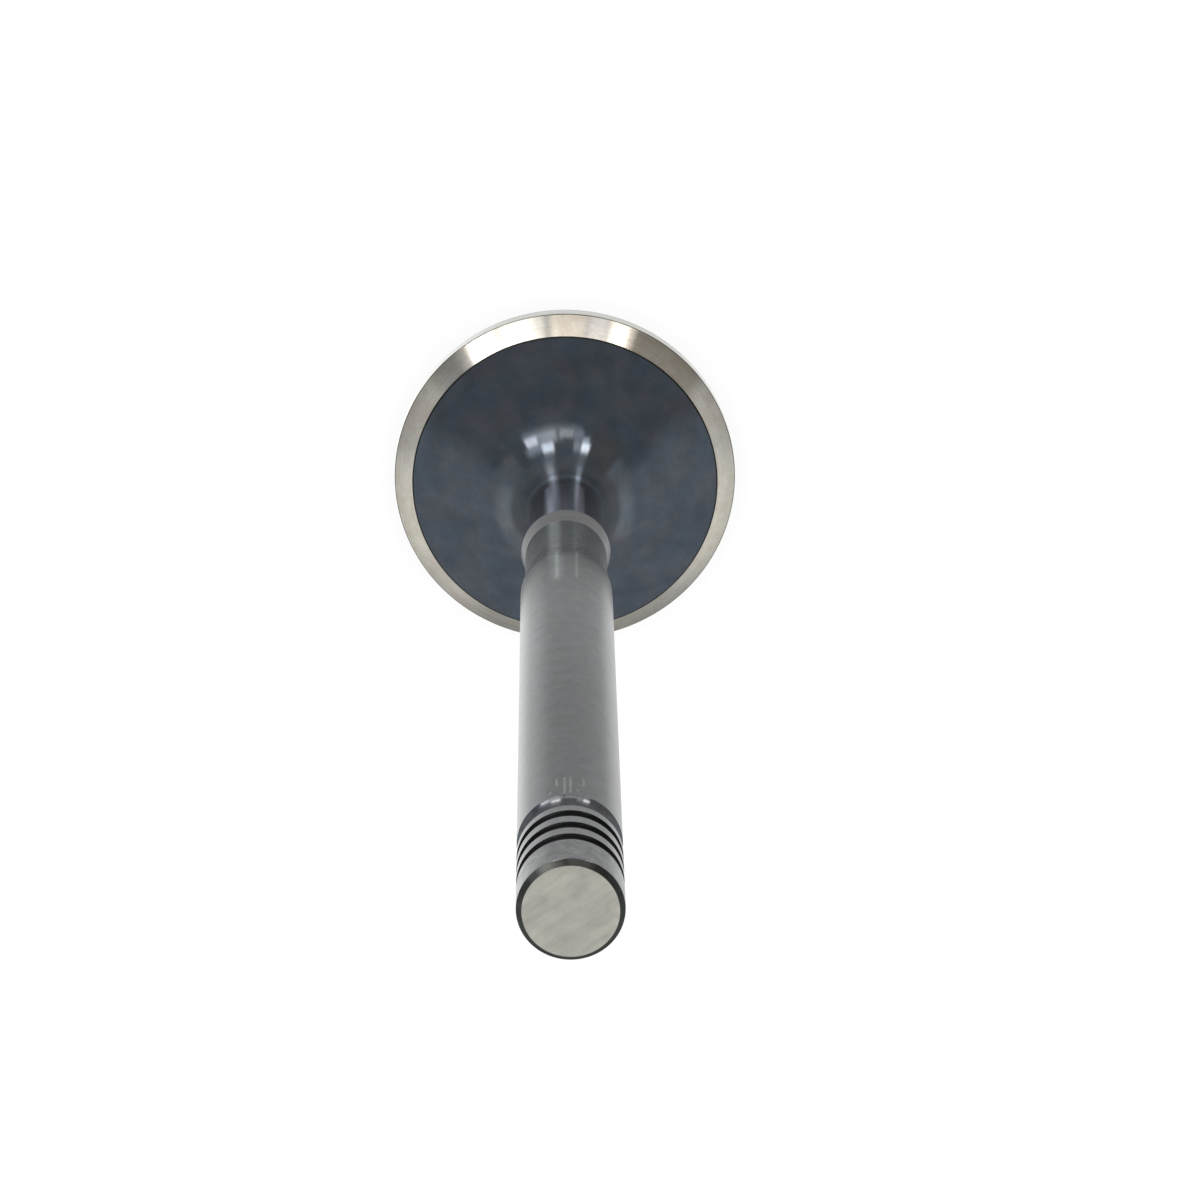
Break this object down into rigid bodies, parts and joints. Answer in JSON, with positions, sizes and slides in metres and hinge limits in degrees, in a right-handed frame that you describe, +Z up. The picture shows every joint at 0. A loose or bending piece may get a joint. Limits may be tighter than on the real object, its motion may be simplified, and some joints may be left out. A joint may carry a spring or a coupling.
{
  "type": "engine valve",
  "caption": "Poppet valve for an engine: flat round head with a 45 degree seat, tulip underhead, slender ground stem and half-round keeper grooves at the tip.",
  "frame": {"origin": "centre of the flat head face that the valve stands on", "axes": "+Z up the stem to the tip; the part is round about Z, so X and Y are free"},
  "size_m": [0.032, 0.032, 0.1057],
  "materials": {
    "valve_steel": "dark nitrided satin, with the seat face and the tip face ground bright"
  },
  "bodies": {
    "root": {"valve": "valve_steel"}
  },
  "joints": []
}
